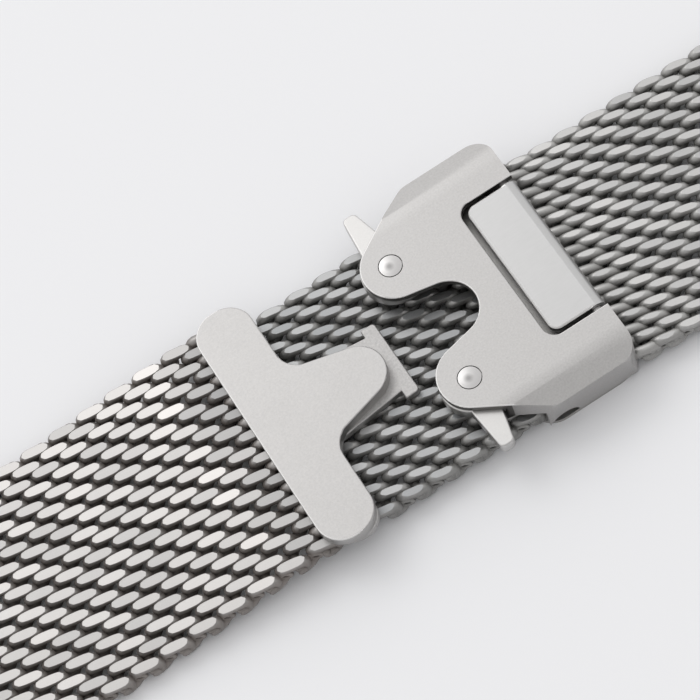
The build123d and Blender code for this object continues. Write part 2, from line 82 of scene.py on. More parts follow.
def share(name, text, value, high=1.0):
    """A plain number from nought upwards."""
    return FloatProperty(name=name, description=text, default=value, min=0.0, max=high)


def colour(name, text, value):
    """A linear colour."""
    return FloatVectorProperty(name=name, description=text, default=value, size=3,
                               subtype="COLOR", min=0.0, max=1.0)


def turn(name, text, degrees):
    """An angle, kept in radians."""
    return FloatProperty(name=name, description=text, default=math.radians(degrees),
                         subtype="ANGLE", unit="ROTATION")


class MESHBAND_PG_weave(PropertyGroup):
    """Sizes of the woven wire on both halves of the band."""

    hook_pitch: length("Hook side row pitch", "Distance from one spiral to the next", 1.26 * MM)
    hook_step: length("Hook side turn pitch", "Distance from one turn of a spiral to the next", 2.07 * MM)
    hook_wire: length("Hook side wire radius", "Radius of the wire before it is ground", 0.42 * MM)
    hook_reach: length("Hook side reach", "Half length of a turn, at the wire's centre", 0.921 * MM)
    hook_flat: length("Hook side flat", "Width of the ground ovals", 0.717 * MM)
    hook_square: share("Hook side squareness", "How square a turn is, from 2 for an oval", 4.4, 12.0)
    hook_lean: turn("Hook side lean", "Angle of the top wires to the band's length", 10.4)
    hook_slide: length("Hook side slide", "Shift of the rows along the band", -0.58 * MM, low=-1.0)
    tail_pitch: length("Tail side row pitch", "Distance from one spiral to the next", 1.22 * MM)
    tail_step: length("Tail side turn pitch", "Distance from one turn of a spiral to the next", 1.97 * MM)
    tail_wire: length("Tail side wire radius", "Radius of the wire before it is ground", 0.39 * MM)
    tail_reach: length("Tail side reach", "Half length of a turn, at the wire's centre", 0.938 * MM)
    tail_flat: length("Tail side flat", "Width of the ground ovals", 0.532 * MM)
    tail_square: share("Tail side squareness", "How square a turn is, from 2 for an oval", 4.2, 12.0)
    tail_lean: turn("Tail side lean", "Angle of the top wires to the band's length", 14.5)
    tail_slide: length("Tail side slide", "Shift of the rows along the band", 0.18 * MM, low=-1.0)
    hook_crown: length("Hook side crown", "How far a top wire falls towards its ends", 0.05 * MM)
    tail_crown: length("Tail side crown", "How far a top wire falls towards its ends", 0.10 * MM)
    hook_squeeze: length("Hook side squeeze", "How far the +Y edge's wires are pushed in", 0.3 * MM)
    tail_squeeze: length("Tail side squeeze", "How far the +Y edge's wires are pushed in", 0.3 * MM)
    hook_margin: length("Hook side edge play", "How far an edge wire's ends may stand out", 0.12 * MM)
    tail_margin: length("Tail side edge play", "How far an edge wire's ends may stand out", 0.05 * MM)
    hook_stub: length("Hook side stubs", "How far the cut wire ends stand out of the edge", 0.62 * MM)
    tail_stub: length("Tail side stubs", "How far the cut wire ends stand out of the edge", 0.33 * MM)
    hook_aside: length("Hook side shift", "Shift of the hook side's rows across the band", 0.5175 * MM)
    under_lean: turn("Lean below", "Angle of the wires on the underside to the band's length", 24.0)
    thickness: length("Thickness", "Mesh thickness after both faces are ground", 1.6 * MM)
    loop_radius: length("Edge loop radius", "Radius of the small loops that close the edges", 0.36 * MM)
    loop_wire: length("Edge loop wire", "Radius of the wire of the small loops", 0.17 * MM)
    segments: IntProperty(name="Wire sides", description="Sides of the wire's section",
                          default=10, min=6, max=16)
    seed: IntProperty(name="Seed", description="Start of the random tints", default=11)


class MESHBAND_PG_finish(PropertyGroup):
    """Colours and gloss of the metals."""

    hook_flats: colour("Hook side flats", "Colour of the ground ovals on the hook side", (0.44, 0.428, 0.418))
    tail_flats: colour("Tail side flats", "Colour of the ground ovals on the tail side", (0.50, 0.495, 0.488))
    # Painted light on the round wire: the wire colour is its lit shoulders, the depth colour is painted shade
    # between the flats, and the fade sets how fast that shade comes in
    hook_wire: colour("Hook side wire", "Colour of the round wire beside the flats", (0.36, 0.345, 0.335))
    tail_wire: colour("Tail side wire", "Colour of the round wire beside the flats", (0.46, 0.455, 0.445))
    hook_deep: colour("Hook side depth", "Colour of the dull wire between the flats", (0.20, 0.175, 0.16))
    tail_deep: colour("Tail side depth", "Colour of the dull wire between the flats", (0.22, 0.215, 0.205))
    hook_fade: share("Hook side fade", "How fast the wire darkens below its shoulders", 3.0, 8.0)
    tail_fade: share("Tail side fade", "How fast the wire darkens below its shoulders", 1.7, 8.0)
    # Painted highlight: the rims are lighter than the plates, to stand for the light that their rounded edges
    # catch
    rim_colour: colour("Rims", "Colour of the worn bright edges of the plates", (0.80, 0.79, 0.78))
    # Painted shade: the walls round the window and lobes are far darker than the same steel, for the shade
    # that falls in them
    wall_colour: colour("Cut walls", "Colour of the walls round the window and lobes", (0.16, 0.155, 0.15))
    plate_colour: colour("Satin plates", "Colour of the blasted plates", (0.468, 0.458, 0.451))
    flap_colour: colour("Flap", "Colour of the locking flap", (0.50, 0.497, 0.495))
    lever_colour: colour("Levers", "Colour of the catch levers", (0.56, 0.55, 0.54))
    inner_colour: colour("Inner plates", "Colour of the base plate and the lever deck", (0.42, 0.41, 0.40))
    rivet_colour: colour("Rivets", "Colour of the polished rivets", (0.50, 0.49, 0.485))
    end_colour: colour("Rolled ends", "Colour of the rolled ends", (0.56, 0.55, 0.54))
    tube_colour: colour("Tubes", "Colour of the spring bars' tubes", (0.55, 0.55, 0.55))
    tip_colour: colour("Tips", "Colour of the spring bars' tips", (0.6, 0.6, 0.6))
    spring_colour: colour("Springs", "Colour of the wire of all the springs", (0.45, 0.44, 0.43))
    plate_roughness: share("Plate roughness", "Roughness of the satin plates", 0.42)
    flat_roughness: share("Flat roughness", "Roughness of the ground ovals", 0.38)
    grain_size: length("Grain size", "Size of the blasted grain", 0.14 * MM)


class MESHBAND_PG_stage(PropertyGroup):
    """Floor, light and camera."""

    floor_colour: colour("Floor", "Colour of the floor", (0.87, 0.87, 0.885))
    floor_radius: length("Floor radius", "From the middle of the floor to its rim", 3.0, high=10.0)
    sky_colour: colour("Sky", "Colour of the light from all round", (1.0, 1.0, 1.0))
    sky_strength: share("Sky strength", "Strength of the light from straight above", 0.895, 5.0)
    sky_slant: share("Sky slant", "How much the light grows towards the far side", 0.40)
    sky_cap: share("Sky cap", "How far towards the far side the light goes on growing", 0.45)
    lamp_power: share("Lamp power", "Power of the soft lamp, in watts", 0.5, 50.0)
    lamp_size: length("Lamp size", "Width of the soft lamp", 0.35)
    lamp_distance: length("Lamp distance", "From the lamp to the camera's target", 0.6)
    lamp_way: FloatVectorProperty(name="Lamp direction", description="From the target to the lamp", size=3,
                                  default=(-0.15, 0.62, 0.77), subtype="DIRECTION")
    azimuth: turn("Azimuth", "Where the camera stands round the band", -97.868)
    elevation: turn("Elevation", "How high the camera stands", 62.612)
    roll: turn("Roll", "Turn of the camera about its own line of sight", -25.744)
    distance: length("Distance", "From the camera to its target", 215.80 * MM, high=10.0)
    lens: FloatProperty(name="Lens", description="Focal length in millimetres",
                        default=SENSOR * FOCAL / FRAME)
    target: FloatVectorProperty(name="Target", description="Point that the camera looks at", size=3,
                                default=(-12.725 * MM, 1.499 * MM, 4.5 * MM), subtype="TRANSLATION")


class Signal:
    """A socket of a node tree that Python's operators work on."""

    def __init__(self, socket):
        self.socket = socket
        self.tree = socket.id_data

    def maths(self, operation, *values):
        """A Math node on numbers and signals."""
        return add_node(self.tree, "ShaderNodeMath", {"operation": operation}, dict(enumerate(values)))

    def __add__(self, other):
        return self.maths("ADD", self, other)

    __radd__ = __add__

    def __sub__(self, other):
        return self.maths("SUBTRACT", self, other)

    def __rsub__(self, other):
        return self.maths("SUBTRACT", other, self)

    def __mul__(self, other):
        return self.maths("MULTIPLY", self, other)

    __rmul__ = __mul__

    def __truediv__(self, other):
        return self.maths("DIVIDE", self, other)

    def __rtruediv__(self, other):
        return self.maths("DIVIDE", other, self)

    def __pow__(self, other):
        return self.maths("POWER", self, other)

    def __rpow__(self, other):
        return self.maths("POWER", other, self)

    def __abs__(self):
        return self.maths("ABSOLUTE", self)

    def least(self, other):
        """The smaller of two values."""
        return self.maths("MINIMUM", self, other)

    def clamped(self):
        """The same value kept between nought and one."""
        return add_node(self.tree, "ShaderNodeClamp", {}, {"Value": self})


def add_node(tree, kind, settings, values, output=0):
    """Any node: its settings come first, then the values or links of its sockets."""
    node = tree.nodes.new(kind)
    for key, value in settings.items():
        setattr(node, key, value)
    for key, value in values.items():
        socket = node.inputs[key]
        if isinstance(value, Signal):
            tree.links.new(value.socket, socket)
        elif socket.type == "RGBA" and len(value) == 3:
            socket.default_value = (*value, 1.0)
        else:
            socket.default_value = value
    return Signal(node.outputs[output]) if len(node.outputs) else None


class Finish:
    """A material made of nodes, with a few helpers for what metals share."""

    def __init__(self, name):
        self.material = bpy.data.materials.new(name)
        self.material.use_nodes = True
        self.tree = self.material.node_tree
        self.tree.nodes.clear()

    def node(self, kind, settings=None, values=None, output=0):
        """Any node in this material."""
        return add_node(self.tree, kind, settings or {}, values or {}, output)

    def place(self):
        """Object coordinates, in metres."""
        return self.node("ShaderNodeTexCoord", output="Object")

    def part(self, vector, axis):
        """One coordinate of a vector."""
        return self.node("ShaderNodeSeparateXYZ", {}, {"Vector": vector}, axis)

    def lay(self):
        """The weave's own flat map, in metres."""
        return self.node("ShaderNodeUVMap", {"uv_map": "lay"}, output="UV")

    def kept_value(self, name):
        """A number that the mesh keeps for each face or vertex."""
        return self.node("ShaderNodeAttribute", {"attribute_name": name}, output="Fac")

    def noise(self, vector, size, detail=2.0, roughness=0.5):
        """Cloudy noise whose lumps are about one size across, in metres."""
        return self.node("ShaderNodeTexNoise", {}, {
            "Vector": vector, "Scale": 1.0 / size, "Detail": detail, "Roughness": roughness})

    def stretched(self, vector, scale):
        """Coordinates on which a pattern runs long where the scale is small."""
        return self.node("ShaderNodeMapping", {"vector_type": "POINT"}, {"Vector": vector, "Scale": scale})

    def mix(self, factor, first, second, way="MIX"):
        """One colour over another. A Mix node's colours are its sockets 6 and 7, and its output 2."""
        return self.node("ShaderNodeMix", {"data_type": "RGBA", "blend_type": way},
                         {0: factor, 6: first, 7: second}, 2)

    def shaded(self, tint, shade, warmth=None):
        """A colour times a shade, which warmth moves a little from blue to red."""
        red, blue = (shade, shade) if warmth is None else (shade + warmth, shade - warmth)
        light = self.node("ShaderNodeCombineColor", {}, {"Red": red, "Green": shade, "Blue": blue})
        return self.mix(1.0, tint, light, "MULTIPLY")

    def bump(self, height, depth, strength):
        """Fine relief, so many metres deep."""
        return self.node("ShaderNodeBump", {}, {"Height": height, "Distance": depth, "Strength": strength})

    def closed(self, values):
        """The material, closed with one surface shader."""
        shader = self.node("ShaderNodeBsdfPrincipled", {}, values)
        self.node("ShaderNodeOutputMaterial", {}, {"Surface": shader})
        return self.material

    def metal(self, base, gloss, normal, metallic=1.0):
        """The material, closed as metal. Gloss is its roughness."""
        return self.closed({"Metallic": metallic, "Base Color": base, "Roughness": gloss.clamped(),
                            "Normal": normal})


def blasted(name, tint, roughness, grain, contrast=0.40, depth=0.008 * MM):
    """Bead blasted steel: fine speckle, faint clouds and a slight uneven gloss."""
    made = Finish(name)
    place = made.place()
    speckle = made.noise(place, grain, 3.0, 0.65)
    clouds = made.noise(place, 2.6 * MM)
    base = made.shaded(tint, 1.0 + (speckle - 0.5) * contrast + (clouds - 0.5) * 0.06)
    gloss = roughness + (clouds - 0.5) * 0.08 + (speckle - 0.5) * 0.10
    return made.metal(base, gloss, made.bump(speckle, depth, 0.6))


def brushed(name, tint, roughness, scale, contrast=0.10, depth=0.002 * MM):
    """Steel with fine parallel lines."""
    made = Finish(name)
    place = made.place()
    lines = made.noise(made.stretched(place, scale), 0.12 * MM, 2.0, 0.6)
    clouds = made.noise(place, 2.0 * MM)
    base = made.shaded(tint, 1.0 + (lines - 0.5) * contrast + (clouds - 0.5) * 0.05)
    return made.metal(base, roughness + (lines - 0.5) * 0.12, made.bump(lines, depth, 0.5))


WORN = (0.25 * MM, 4.0, 0.7)   # size, detail and roughness of the light wear on polished steel
WEAR_DEPTH = 0.001 * MM


def polished(name, tint, roughness):
    """Polished steel with light wear."""
    made = Finish(name)
    marks = made.noise(made.place(), *WORN)
    base = made.shaded(tint, 1.0 + (marks - 0.5) * 0.08)
    return made.metal(base, roughness + (marks - 0.5) * 0.10, made.bump(marks, WEAR_DEPTH, 0.4))


def rivet_head(name, tint, roughness, x, y, core=0.10 * MM, fade=0.32 * MM):
    """Polished steel with a soft painted dark reflection in the middle of each of two heads.

    They stand at x, on both sides of the band's middle. The painted reflection is darkest as far out as its
    core.
    """
    made = Finish(name)
    place = made.place()
    marks = made.noise(place, *WORN)
    along, across = made.part(place, "X") - x, abs(made.part(place, "Y")) - y
    off = (along ** 2 + across ** 2) ** 0.5
    # painted dark reflection: a soft darker, rougher spot on each head
    painted_reflection = 1 - ((off - core) / fade).clamped()
    base = made.shaded(tint, 1.0 + (marks - 0.5) * 0.12 - painted_reflection * 0.40)
    gloss = roughness + (marks - 0.5) * 0.10 + painted_reflection * 0.10
    return made.metal(base, gloss, made.bump(marks, WEAR_DEPTH, 0.4))


def ground_flats(name, tint, roughness):
    """The ground ovals: fine speckle, and each turn with its own painted light, which stands for the glints
    of ovals tilted a little differently and for painted shade on darkened rows.
    """
    made = Finish(name)
    turn_tint = made.kept_value("turn_tint")
    speckle = made.noise(made.lay(), 0.10 * MM, 3.0, 0.7)
    base = made.shaded(tint, 0.80 + turn_tint * 0.36 + (speckle - 0.5) * 0.22, (turn_tint - 0.5) * 0.02)
    gloss = roughness + (speckle - 0.5) * 0.12 - (turn_tint - 0.5) * 0.08
    return made.metal(base, gloss, made.bump(speckle, 0.003 * MM, 0.5))


def drawn_wire(name, tint, deep, fade):
    """The round of the wire with painted light: bright on its shoulders, and dull and dark with painted shade
    between the turns.
    """
    made = Finish(name)
    height, turn_tint = made.kept_value("wire_height"), made.kept_value("turn_tint")
    speckle = made.noise(made.lay(), 0.12 * MM, 3.0, 0.6)
    # painted light and shade by height: the wire colour on the shoulders, the depth colour as painted shade
    # below them
    painted_lit = ((height - 0.25) / 0.75).clamped() ** fade
    base = made.shaded(made.mix(painted_lit, deep, tint), 0.85 + turn_tint * 0.30 + (speckle - 0.5) * 0.25)
    gloss = 0.55 - painted_lit * 0.17 + (speckle - 0.5) * 0.15
    metallic = (0.25 + painted_lit * 0.75).clamped()
    return made.metal(base, gloss, made.bump(speckle, 0.003 * MM, 0.4), metallic)


def dress(names, material):
    """Gives CAD nodes one material."""
    for name in names:
        slots = frame["nodes"][name].data.materials
        slots.clear()
        slots.append(material)


# Where the wire's section stands along one turn: over the top from +X to -X, then back underneath
OVER = (1.0, 0.97, 0.87, 0.66, 0.36, 0.0, -0.36, -0.66, -0.87, -0.97)
UNDER = (-1.0, -0.93, -0.6, 0.0, 0.6, 0.93)
TURN = len(OVER) + len(UNDER)
TOP, BOTTOM = len(OVER) // 2, len(OVER) + len(UNDER) // 2
TURNS = 10        # turns of wire across the band
SQUEEZED = 1.1    # turns next to the +Y edge that are pushed in
GROUND, LIGHT, ROUND = 0, 1, 2   # how much of a row's top wires is ground away
# How far above the mesh's face such a row is cut off, and how far it then sinks
KEPT = {GROUND: (0.0, 0.0), LIGHT: (0.055 * MM, 0.055 * MM), ROUND: (1.0 * MM, 0.12 * MM)}


class Weave:
    """The sizes of one half's spirals, and the line that their wire follows."""

    def __init__(self, sizes, half):
        for word in ("pitch", "step", "wire", "reach", "crown", "squeeze", "margin", "stub"):
            setattr(self, word, getattr(sizes, f"{half}_{word}"))
        flat, lean, square = (getattr(sizes, f"{half}_{word}") for word in ("flat", "lean", "square"))
        height = [(1 - abs(u) ** square) ** (1 / square) for u in OVER + UNDER]
        self.places = [(u, h if i < len(OVER) else -h) for i, (u, h) in enumerate(zip(OVER + UNDER, height))]
        self.slope, self.under_slope = math.tan(lean), math.tan(sizes.under_lean)
        self.face = sizes.thickness / 2
        self.rise = self.face - math.sqrt(self.wire ** 2 - (flat / 2) ** 2)
        self.segments = sizes.segments
        self.section = self.wire / math.cos(math.pi / sizes.segments)
        self.loop_radius, self.loop_wire = sizes.loop_radius, sizes.loop_wire
        self.edge = (TURNS - 0.5) / 2 * self.step

    def edge_on(self, way):
        """How far out the edge wires lie, on the +Y or -Y side."""
        return self.edge - (self.squeeze if way > 0 else 0.0)

    def point(self, index, first):
        """The wire's centre at a place counted along the spiral, kept between the band's edges."""
        turn_number, spot = divmod(index, TURN)
        along, up = self.places[spot]
        x = self.reach * along
        over, under = -self.slope * x, self.step / 2 + self.under_slope * x
        if spot > BOTTOM:
            over += self.step
        if spot < TOP:
            under -= self.step
        weight = (1 + up) / 2
        weight = weight * weight * (3 - 2 * weight)
        y = first + over * weight + under * (1 - weight) + turn_number * self.step
        y = min(max(y, -self.edge - self.margin), self.edge + self.margin)
        y -= self.squeeze * min(max((y - self.edge) / (SQUEEZED * self.step) + 1, 0.0), 1.0)
        return Vector((x, y, up * (self.rise - self.crown * along * along)))

    def frames(self, near):
        """Places and directions of the wire's section along one row.

        A near row has a top wire on the band's -Y edge, starts just before it and ends just past the last
        wire underneath. A far row starts with a wire underneath, and ends just past the top wire on the +Y
        edge.
        """
        first = -self.edge if near else self.step / 2 - self.edge
        start = -2 if near else -len(UNDER) - 1
        stop = TURN * TURNS + 1 if near else TURN * (TURNS - 1) + len(OVER) + 2
        made = []
        for i in range(start, stop + 1):
            here = self.point(i, first)
            along = (self.point(i + 1, first) - self.point(i - 1, first)).normalized()
            side = (Vector((0, 1, 0)) - along * along.y).normalized()
            place = Matrix((side.cross(along), side, along)).transposed().to_4x4()
            place.translation = here
            made.append(place @ Matrix.Rotation(math.pi / self.segments, 4, "Z"))
        return start, made


def ring_of(bm, sides, radius, place, capped=False):
    """The edges of a new circle, with or without a face across it."""
    verts = bmesh.ops.create_circle(bm, cap_ends=capped, segments=sides, radius=radius,
                                    matrix=place)["verts"]
    return list(dict.fromkeys(e for v in verts for e in v.link_edges))


def extruded(bm, ring):
    """Walls on a closed ring of edges, not drawn out yet.

    Returns the new ring's corners and edges, and the walls.
    """
    made = bmesh.ops.extrude_edge_only(bm, edges=ring)["geom"]
    verts = [g for g in made if isinstance(g, bmesh.types.BMVert)]
    fresh = set(verts)
    ring = [g for g in made if isinstance(g, bmesh.types.BMEdge) and fresh.issuperset(g.verts)]
    return verts, ring, [g for g in made if isinstance(g, bmesh.types.BMFace)]


def swept_wire(bm, frames, radius, segments):
    """A wire through a row of frames, closed at both ends. Returns its side faces, step by step."""
    ring = ring_of(bm, segments, radius, frames[0])
    bmesh.ops.contextual_create(bm, geom=ring)
    steps = []
    for before, after in zip(frames, frames[1:]):
        verts, ring, faces = extruded(bm, ring)
        bmesh.ops.transform(bm, matrix=after @ before.inverted(), verts=verts)
        steps.append(faces)
    bmesh.ops.contextual_create(bm, geom=ring)
    return steps


EDGE_ALONG = 0.45 * MM          # where an edge's loops and cut ends lie, along the band from a row's middle
LOOP_OUT, LOOP_UP = 0.35, 0.1   # a loop's middle from the edge wire's, in wire radii
LOOP_SHAPE = (1.3, 1.0, 0.95)   # the loops are longer than they are high
LOOP_SKEW = 0.35                # radians by which they stand askew
STUB_WIDTH = 0.86               # width of a cut end, as a share of its wire's
STUB_DROP = 0.12 * MM           # how far below the middle of the mesh it lies
STUB_TIP = (0.1, 0.8)           # length of its blunted edge in wire radii, and the share of width it leaves


def edge_loop(bm, weave, way):
    """A small loop of wire that stands on the band's edge, on the +Y or -Y side."""
    older = set(bm.verts)
    centre = Vector((EDGE_ALONG, way * (weave.edge_on(way) + LOOP_OUT * weave.wire), LOOP_UP * weave.wire))
    ring = ring_of(bm, sides=6, radius=weave.loop_wire,
                   place=Matrix.Translation(centre + Vector((weave.loop_radius, 0, 0))))
    corners = list(dict.fromkeys(v for e in ring for v in e.verts))
    bmesh.ops.spin(bm, geom=corners + ring, cent=centre, axis=(0, 1, 0), angle=math.tau,
                   steps=8, use_merge=True)
    loop = [v for v in bm.verts if v not in older]
    bmesh.ops.scale(bm, vec=LOOP_SHAPE, space=Matrix.Translation(-centre), verts=loop)
    bmesh.ops.rotate(bm, cent=centre, matrix=Matrix.Rotation(way * LOOP_SKEW, 3, "Z"), verts=loop)


def edge_stub(bm, weave, way):
    """The cut end of an edge wire, which looks out of the band's side."""
    root = 2 * weave.wire   # how far inside the edge it starts
    place = Matrix.Translation((EDGE_ALONG, way * (weave.edge_on(way) - root), -STUB_DROP))
    facing = Matrix.Rotation(math.radians(-90 * way), 4, "X")
    ring = ring_of(bm, sides=8, radius=STUB_WIDTH * weave.wire, place=place @ facing, capped=True)
    tip_length, tip_width = STUB_TIP
    for out, size in ((root + weave.stub, 1.0), (tip_length * weave.wire, tip_width)):
        verts, ring, _ = extruded(bm, ring)
        bmesh.ops.translate(bm, vec=(0, way * out, 0), verts=verts)
        centre = sum((v.co for v in verts), Vector()) / len(verts)
        bmesh.ops.scale(bm, vec=(size, 1.0, size), space=Matrix.Translation(-centre), verts=verts)
    bmesh.ops.contextual_create(bm, geom=ring)


def cut(bm, at, facing, clear=False):
    """Cuts everything along a plane, and clears what lies beyond it if that is asked for."""
    bmesh.ops.bisect_plane(bm, geom=[*bm.verts, *bm.edges, *bm.faces], dist=SAME_PLACE,
                           plane_co=at, plane_no=facing, clear_outer=clear)


def as_mesh(name, bm):
    """The bmesh as a mesh, for which it is given up."""
    mesh = bpy.data.meshes.new(name)
    bm.to_mesh(mesh)
    bm.free()
    return mesh


def add_object(name, data):
    """An object in the scene."""
    made = bpy.data.objects.new(name, data)
    bpy.context.scene.collection.objects.link(made)
    return made


def spiral(weave, near, kept):
    """One row of the mesh: a wire wound flat across the band, ground on both faces."""
    bm = bmesh.new()
    turn_layer = bm.faces.layers.int.new("turn")
    start, frames = weave.frames(near)
    for number, faces in enumerate(swept_wire(bm, frames, weave.section, weave.segments)):
        turn_number, spot = divmod(number + start + TURN, TURN)
        for face in faces:
            face[turn_layer] = 2 * turn_number + (1 if spot < len(OVER) else 0)
    edge_loop(bm, weave, 1 if near else -1)
    edge_stub(bm, weave, -1 if near else 1)
    bmesh.ops.recalc_face_normals(bm, faces=bm.faces)
    for face in bm.faces:
        face.smooth = True
    above, sink = KEPT[kept]
    for way, level in ((1, weave.face + above), (-1, weave.face)):
        cut(bm, (0, 0, way * level), (0, 0, way), clear=True)
        rim = [e for e in bm.edges if e.is_boundary]
        for edge in rim:
            edge.smooth = False
        for face in bmesh.ops.holes_fill(bm, edges=rim, sides=0)["faces"]:
            face.smooth = False
            face.material_index = 1
            beside = [f for e in face.edges for f in e.link_faces if f is not face]
            face[turn_layer] = beside[0][turn_layer] if beside else 0
            if face.normal.z * way < 0:
                face.normal_flip()
    bmesh.ops.translate(bm, vec=(0, 0, -sink), verts=bm.verts)
    return as_mesh("spiral", bm)


def new_piece(name, bm, materials):
    """A mesh object at the origin with its materials."""
    mesh = as_mesh(name, bm)
    for material in materials:
        mesh.materials.append(material)
    piece = add_object(name, mesh)
    return piece


HALF_TURNS = 2 * TURNS + 6    # painted light values in a row: one for each half turn, with a few to spare
TINTS = (0.25, 0.75)          # a turn's random painted light lies between these
TINT_LIMITS = (-0.8, 1.5)     # and between these once its row is made brighter or darker
EDGE_HEIGHT = 0.75            # wire beyond the edge takes the painted light of wire at this share of the face's height


def woven(name, rows, weave, spirals, materials, chance):
    """Rows of spirals in one mesh, each with its (kind, distance along the run, place, tilt, painted
    brightness).
    """
    bm = bmesh.new()
    lay = bm.loops.layers.uv.new("lay")
    tint = bm.faces.layers.float.new("turn_tint")
    height = bm.verts.layers.float.new("wire_height")
    low, high = TINTS
    darkest, brightest = TINT_LIMITS
    for kind, distance, place, tilt, bright in rows:
        first_vert, first_face = len(bm.verts), len(bm.faces)
        bm.from_mesh(spirals[kind])
        bm.verts.ensure_lookup_table()
        bm.faces.ensure_lookup_table()
        turn_layer = bm.faces.layers.int["turn"]
        verts, faces = bm.verts[first_vert:], bm.faces[first_face:]
        for vert in verts:
            beyond = max(0.0, abs(vert.co.y) - weave.edge) / weave.wire
            vert[height] = max(abs(vert.co.z) / weave.face, min(beyond, EDGE_HEIGHT))
        # painted light for each half turn: a random glint, plus the row's painted brightness or shade
        drawn = [(high - low) * chance.random() + low + bright for _ in range(HALF_TURNS)]
        drawn = [min(max(value, darkest), brightest) for value in drawn]
        for face in faces:
            face[tint] = drawn[face[turn_layer]]
            for loop in face.loops:
                loop[lay].uv = (distance + loop.vert.co.x, loop.vert.co.y)
        bmesh.ops.transform(bm, matrix=Matrix.Translation(place) @ Matrix.Rotation(tilt, 4, "Y"), verts=verts)
    bm.faces.layers.int.remove(bm.faces.layers.int["turn"])
    return new_piece(name, bm, materials)


# Distances from the band's middle at which cuts along the clasp blend its soft facets
FACET_LINES = [way * y * MM for way in (1, -1) for y in (8.1, 9.1, 9.9)]
LEVEL_TURN = math.radians(0.5)  # faces that meet at less than this are one
SHARP_TURN = math.radians(32)   # an edge that turns more than this is rounded
NARROW = 0.18 * MM              # a tilted face narrower than this is an edge break
TILTED = (0.15, 0.98)           # by how much a tilted face's normal points up
TAILWARD = 0.05                 # and by how much it points along +X where it faces the tail
STEEP = 0.5                     # a steep wall's normal points up or down by less than this


def eased(node, body, materials, width=0.07 * MM, soft=(), walls_within=0.0):
    """Stands in for a plate with a copy of it whose edges are slightly round.

    Cuts at the soft distances blend its facets. The rounding and the CAD's own narrow edge breaks take the
    last of the materials, but not the breaks that face the tail. Steep walls nearer to the band's middle than
    walls_within take the second.
    """
    bm = bmesh.new()
    bm.from_mesh(frame["nodes"][node].data)
    bmesh.ops.remove_doubles(bm, verts=bm.verts, dist=SAME_PLACE)
    bmesh.ops.dissolve_limit(bm, angle_limit=LEVEL_TURN, verts=bm.verts, edges=bm.edges)
    for y in soft:
        cut(bm, (0, y, 0), (0, 1, 0))
    for face in bm.faces:
        face.smooth = True
        across = face.calc_area() / max(edge.calc_length() for edge in face.edges)
        tilted = TILTED[0] < face.normal.z < TILTED[1] and face.normal.x < TAILWARD
        if tilted and across < NARROW:
            face.material_index = len(materials) - 1
        elif abs(face.normal.z) < STEEP and abs(face.calc_center_median().y) < walls_within:
            face.material_index = 1
    for edge in bm.edges:
        edge.smooth = edge.calc_face_angle(0.0) < SHARP_TURN
    piece = new_piece(f"{node}_eased", bm, materials)
    rounding = piece.modifiers.new("round_edges", "BEVEL")
    rounding.width = width
    rounding.segments = 2
    rounding.limit_method = "ANGLE"
    rounding.angle_limit = SHARP_TURN
    rounding.material = len(materials) - 1
    shading = piece.modifiers.new("even_shading", "WEIGHTED_NORMAL")
    shading.keep_sharp = False
    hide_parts(node)
    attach(piece, body)


def on_track(track, s):
    """The place (x, z) at a distance along a run of straight stretches."""
    for (s0, x0, z0), (s1, x1, z1) in zip(track, track[1:]):
        if s <= s1 or (s1, x1, z1) == track[-1]:
            share_gone = (s - s0) / (s1 - s0)
            return x0 + (x1 - x0) * share_gone, z0 + (z1 - z0) * share_gone


BEND_REACH = 1.6   # row pitches over which the run bends, on each side of a hinge
SAMPLES = 4        # heights that are looked at on each side of a row, to find how it tilts


def row_places(start, corners, toward, pitch, count, first_near, slide, shifts, special):
    """Where each row lies, and what kind it is. The run bends softly where two stretches meet."""
    track = [(0.0, *start)]
    for x, z in corners:
        s, px, pz = track[-1]
        track.append((s + math.hypot(x - px, z - pz), x, z))
    soft = BEND_REACH * pitch
    rows = []
    for number in range(count):
        kept, bright = special.get(number, (GROUND, 0.0))
        nudge, across = shifts(number)
        s = (number + 0.5) * pitch + toward * slide + nudge
        heights = [on_track(track, s + soft * k / SAMPLES)[1] for k in range(-SAMPLES, SAMPLES + 1)]
        slope = (heights[-1] - heights[0]) / (2 * soft)
        place = Vector((on_track(track, s)[0], across, sum(heights) / len(heights)))
        near = (number % 2 == 0) == first_near
        rows.append(((near, kept), toward * s, place, -toward * math.atan(slope), bright))
    return rows


def between(points, value):
    """A value read off a line through points, level beyond its ends."""
    if value <= points[0][0]:
        return points[0][1]
    for (a, low), (b, high) in zip(points, points[1:]):
        if value <= b:
            return low + (high - low) * (value - a) / (b - a)
    return points[-1][1]


